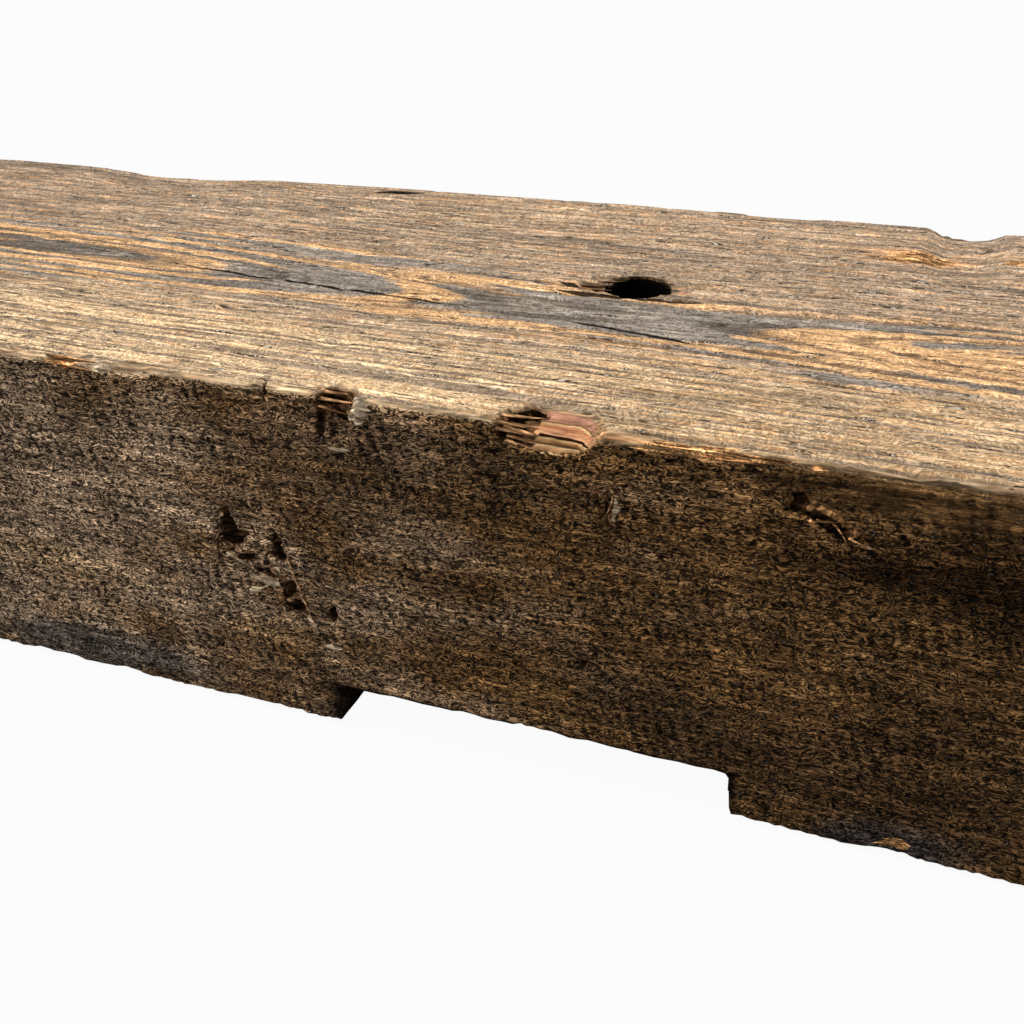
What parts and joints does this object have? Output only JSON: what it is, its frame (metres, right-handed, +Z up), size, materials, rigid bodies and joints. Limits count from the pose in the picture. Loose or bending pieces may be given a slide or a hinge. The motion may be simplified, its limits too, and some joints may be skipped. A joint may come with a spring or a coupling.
{
  "type": "reclaimed timber beam",
  "caption": "Old sawn softwood beam with worn arrises, a housing cut across its underside and a bolt hole bored through it; structural or mantel timber.",
  "frame": {"origin": "on the floor, under the middle of the timber as it lies on its wide face", "axes": "+X along the grain, +Y from the front face with the damaged arris to the back face, +Z up"},
  "size_m": [1.22, 0.25, 0.152],
  "materials": {
    "timber": "weathered, rough-sawn, unfinished"
  },
  "bodies": {
    "root": {"beam": "timber"}
  },
  "joints": []
}
